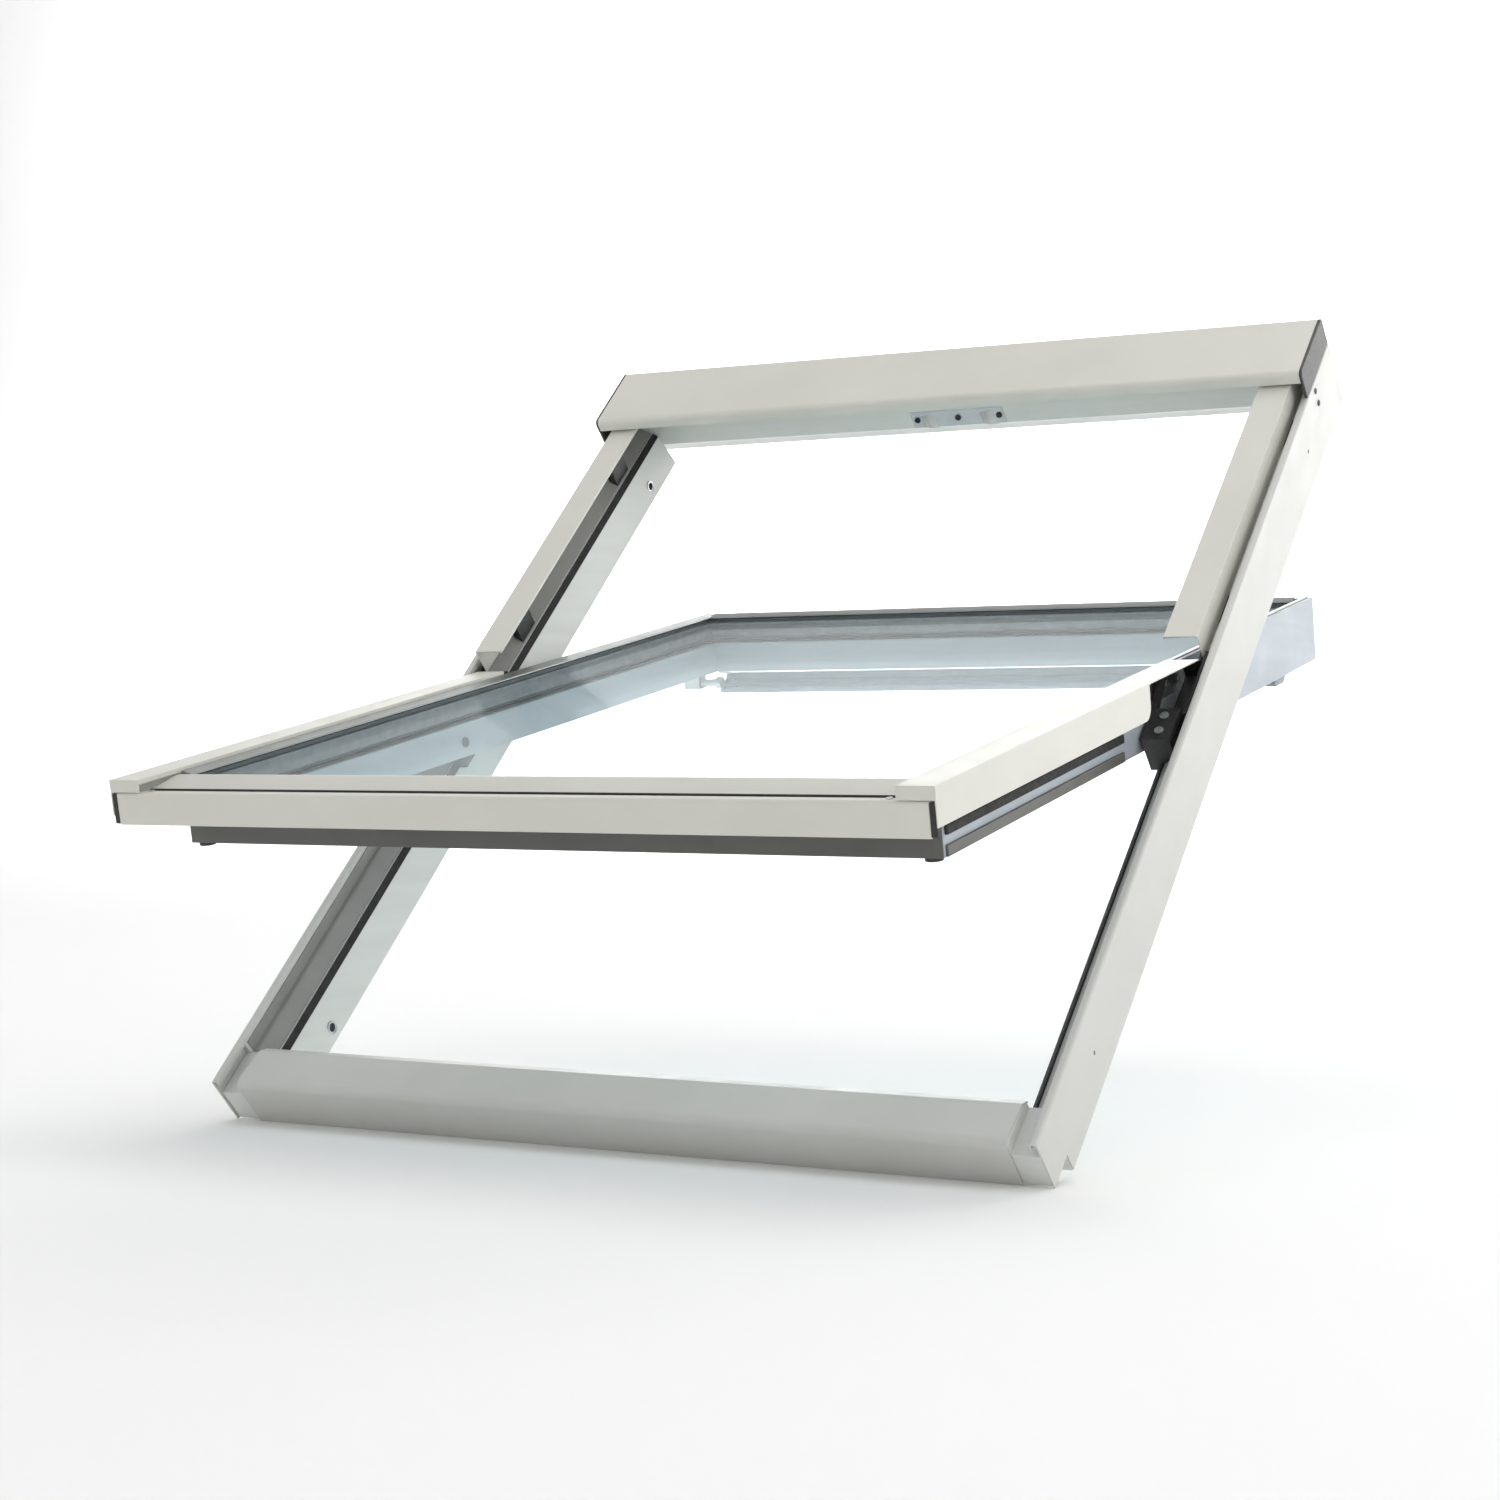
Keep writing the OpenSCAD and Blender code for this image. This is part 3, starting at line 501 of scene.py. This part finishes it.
glass_tree.links.new(shine.outputs["Value"], glass_mix.inputs["Fac"])
glass_tree.links.new(let_through.outputs["BSDF"], glass_mix.inputs[1])
glass_tree.links.new(glass_tree.nodes["Principled BSDF"].outputs["BSDF"], glass_mix.inputs[2])
glass_tree.links.new(glass_mix.outputs["Shader"],
                     glass_tree.nodes["Material Output"].inputs["Surface"])

for node in ("outer_pane", "inner_pane"):
    pane = from_cad(node, in_sash)
    soften(pane, 0.5, 2)
    make_piece(node + "_ground", pane, in_sash, "sash", clear_glass, [node])

spacer_metal = new_material("perforated spacer aluminium", 0.6)
spacer_place = pattern_place(spacer_metal, open_angle - pitch)
shade_between(spacer_metal, noise(spacer_metal, spacer_place, 90.0), (0.15, 0.17, 0.185),
              (0.20, 0.22, 0.235))
gloss_between(spacer_metal, noise(spacer_metal, spacer_place, 200.0), 0.30, 0.42)
pin_holes = spacer_metal.node_tree.nodes.new("ShaderNodeTexVoronoi")
pin_holes.inputs["Scale"].default_value = 300.0
pin_holes.inputs["Randomness"].default_value = 0.0
spacer_metal.node_tree.links.new(spacer_place, pin_holes.inputs["Vector"])
relief(spacer_metal, pin_holes.outputs["Distance"], 0.0003, 0.6)

spacer = from_cad("pane_spacer", in_sash)
soften(spacer, 0.5, 2)
make_piece("pane_spacer_rolled", spacer, in_sash, "sash", spacer_metal,
           ["pane_spacer"])

# ---- Glazing profiles ----
# Extruded aluminium strips. Three, satin anodised, hold the pane's edge down. The fourth, in
# off-white lacquer, slopes from the pane's lower edge to the groove above the bottom cover.


def satin_metal(name, dark, light, turn, stretch, smooth=0.28, rough=0.40, metal=0.8):
    """Anodised or plated metal with the faint lines that its making leaves along it."""
    material = new_material(name, metal)
    line_place = pattern_place(material, turn, stretch)
    place = pattern_place(material)
    shade_between(material, noise(material, place, 30.0, 4.0), dark, light)
    gloss_between(material, noise(material, place, 80.0, 4.0), smooth, rough)
    relief(material, noise(material, line_place, 900.0, 3.0), 0.00001, 0.15)
    return material


anodised_up = satin_metal("satin anodised aluminium, lines up", (0.33, 0.34, 0.33),
                          (0.39, 0.40, 0.39), open_angle - pitch, upward_grain)
anodised_across = satin_metal("satin anodised aluminium, lines across", (0.33, 0.34, 0.33),
                              (0.39, 0.40, 0.39), open_angle - pitch, across_grain)
lacquered_strip = satin_lacquer("off-white strip lacquer", (0.58, 0.575, 0.525),
                                (0.62, 0.615, 0.565), 0.30, 0.42)

for node, finish in (
    ("left_glazing_profile", anodised_up),
    ("right_glazing_profile", anodised_up),
    ("top_glazing_profile", anodised_across),
    ("bottom_glazing_profile", lacquered_strip),
):
    strip = from_cad(node, in_sash)
    soften(strip, 0.35, 2)
    make_piece(node + "_extruded", strip, in_sash, "sash", finish, [node])

# ---- Hinge plates, pins, latch, striker and barrel bolt ----
# Pressed and turned steel, zinc plated: the plates let into the stiles, the pivot pins, the
# latch's case and bolt, the striker in the top member, and the cleaning bolt with its bushes.

zinc = satin_metal("zinc-plated steel", (0.50, 0.51, 0.52), (0.62, 0.63, 0.64), 0.0,
                   (1.0, 1.0, 1.0), 0.26, 0.44, 1.0)

for node, lay, body, size in (
    ("striker_plate", in_roof, "frame", 0.3),
    ("bolt_bushes", in_roof, "frame", 0.3),
    ("left_hinge_plate", in_sash, "sash", 0.3),
    ("right_hinge_plate", in_sash, "sash", 0.3),
    ("left_pivot_pin", in_sash, "sash", 0.25),
    ("right_pivot_pin", in_sash, "sash", 0.25),
    ("latch_case", in_sash, "sash", 0.4),
    ("left_bar_bracket", in_sash, "sash", 0.3),
    ("right_bar_bracket", in_sash, "sash", 0.3),
    ("bolt_guide", in_sash, "sash", 0.4),
    ("latch_bolt", in_sash, "latch_bolt", 0.4),
    ("barrel_bolt", in_sash, "barrel_bolt", 0.4),
):
    part = from_cad(node, lay)
    soften(part, size, 2)
    make_piece(node + "_plated", part, lay, body, zinc, [node])

# ---- Control bar ----
# A pull bar of extruded aluminium across the sash's top, with a finger lip along its lower
# edge, closed by a cast lever at each end that turns on the bracket's pin.

# The bar's dark blue-grey colour is painted shade and painted glass tint, darker and bluer than its own finish.
shaded_bar_metal = satin_metal("satin bar aluminium with painted shade", (0.22, 0.25, 0.30), (0.27, 0.30, 0.35),
                        open_angle - pitch, across_grain, 0.38, 0.50, 0.4)

for node, size in (("control_bar", 1.2), ("bar_end_levers", 0.7)):
    part = from_cad(node, in_sash)
    soften(part, size, 3)
    make_piece(node + "_extruded", part, in_sash, "control_bar", shaded_bar_metal,
               [node])

# ---- Screws ----
# Steel screws with cross recesses: zinc plated in the hinges and bottom cover, blackened in
# the casing and striker.

black_steel = satin_metal("blackened steel", (0.045, 0.045, 0.045), (0.070, 0.070, 0.070),
                          0.0, (1.0, 1.0, 1.0), 0.36, 0.52, 0.8)


def cut_cross(shape, face, reach, width, depth):
    """Sinks a cross recess into a round head's flat face."""
    outward = face.normal.copy()
    middle = face.calc_center_median()
    side = outward.orthogonal().normalized()
    up = outward.cross(side)
    corners = []
    for turn in range(4):
        for across, along in ((-width, width), (-width, reach), (width, reach)):
            angle = turn * pi / 2
            x = across * cos(angle) + along * sin(angle)
            y = along * cos(angle) - across * sin(angle)
            corners.append(middle + x * side + y * up)
    rim = list(face.edges)
    bmesh.ops.delete(shape, geom=[face], context="FACES_ONLY")
    top = [shape.verts.new(corner) for corner in corners]
    floor = [shape.verts.new(corner - depth * outward) for corner in corners]
    edges = [shape.edges.new((top[i - 1], top[i])) for i in range(len(top))]
    bmesh.ops.triangle_fill(shape, use_beauty=True, use_dissolve=False, edges=rim + edges,
                            normal=outward)
    for i in range(len(top)):
        shape.faces.new((top[i - 1], top[i], floor[i], floor[i - 1]))
    shape.faces.new(floor)


arm_share = 0.24
recess_depth = 0.7
fewest_rim_points = 12

for node, lay, body, slot, metal, size, reach, heads in (
    ("casing_screws", in_roof, "frame", "dark_screw", black_steel, 0.25, 1.7, "x"),
    ("striker_screws", in_roof, "frame", "dark_screw", black_steel, 0.3, 1.8, "y"),
    ("frame_hinge_screws", in_roof, "frame", "zinc_steel", zinc, 0.4, 2.3, "z"),
    ("sash_hinge_screws", in_sash, "sash", "zinc_steel", zinc, 0.3, 2.1, "x"),
    ("bottom_cover_screws", in_sash, "sash", "zinc_steel", zinc, 0.25, 1.3, "z"),
):
    part = from_cad(node, lay)
    soften(part, size, 2)
    head_faces = []
    for face in part.faces:
        middle = face.calc_center_median()
        outward = {"x": face.normal.x * middle.x, "y": -face.normal.y, "z": face.normal.z}
        if len(face.verts) >= fewest_rim_points and outward[heads] > 0.5:
            head_faces.append(face)
    for face in head_faces:
        cut_cross(part, face, reach, reach * arm_share, recess_depth)
    bmesh.ops.recalc_face_normals(part, faces=part.faces)
    make_piece(node + "_driven", part, lay, body, metal, [node])

# ---- Buffers and plugs of the sash ----
# Small moulded pieces: black buffers under the bottom member's corners, and a grey plug that
# covers a fixing hole in each stile's inner face.

for name, middle, radius, height, turn_y, plastic, slot in (
    ("buffer_left", (-338, 63, -67.5), 7, 3, 0, black_plastic, "black_plastic"),
    ("buffer_right", (338, 63, -67.5), 7, 3, 0, black_plastic, "black_plastic"),
    ("stile_plug_left", (-327.4, 432, -52), 5, 1.2, 90, cap_plastic, "cap_plastic"),
    ("stile_plug_right", (327.4, 432, -52), 5, 1.2, 90, cap_plastic, "cap_plastic"),
):
    knob = bmesh.new()
    bmesh.ops.create_cone(knob, cap_ends=True, cap_tris=False, segments=32, radius1=radius,
                          radius2=radius, depth=height)
    bmesh.ops.rotate(knob, verts=knob.verts, cent=(0, 0, 0),
                     matrix=Matrix.Rotation(radians(turn_y), 3, "Y"))
    bmesh.ops.translate(knob, verts=knob.verts, vec=middle)
    soften(knob, 0.4, 2)
    make_piece(name, knob, in_sash, "sash", plastic)

# ---- Seals and drip strips beside the sash ----
# On each stile's outer side a black rubber strip under the side cover is painted shadow of the
# gap there; a dark aluminium strip sheds the rain along the lower edge, below the hinge.

strip_length = 350.0
strip_middle_u = 235.0

for name, slot, stuff, low, high, inner, outer, size in (
    ("stile_shadow_seal_left", "rubber", rubber, -49.5, -42.0, -351.8, -348.9, 0.9),
    ("stile_shadow_seal_right", "rubber", rubber, -49.5, -42.0, 348.9, 351.8, 0.9),
    ("drip_strip_left", "dark_aluminium", dark_lacquer, -65.5, -57.0, -351.2, -348.9, 0.4),
    ("drip_strip_right", "dark_aluminium", dark_lacquer, -65.5, -57.0, 348.9, 351.2, 0.4),
):
    strip = bmesh.new()
    bmesh.ops.create_cube(strip, size=1.0)
    bmesh.ops.scale(strip, verts=strip.verts, vec=(outer - inner, strip_length, high - low))
    bmesh.ops.translate(strip, verts=strip.verts,
                        vec=((inner + outer) / 2, strip_middle_u, (low + high) / 2))
    soften(strip, size, 3)
    make_piece(name, strip, in_sash, "sash", stuff)

# ---- Bead in the bottom cover's groove ----
# A dark rubber bead in the 3 mm groove between the bottom glazing profile and the bottom cover,
# standing just proud of both, as painted shade of the groove.

shade_bead_size = (686.0, 2.7, 3.4)
shade_bead_middle = (0.0, 8.0, -11.25)
bead = bmesh.new()
bmesh.ops.create_cube(bead, size=1.0)
bmesh.ops.scale(bead, verts=bead.verts, vec=shade_bead_size)
bmesh.ops.translate(bead, verts=bead.verts, vec=shade_bead_middle)
soften(bead, 0.8, 3)
make_piece("groove_painted_shade", bead, in_sash, "sash", rubber)
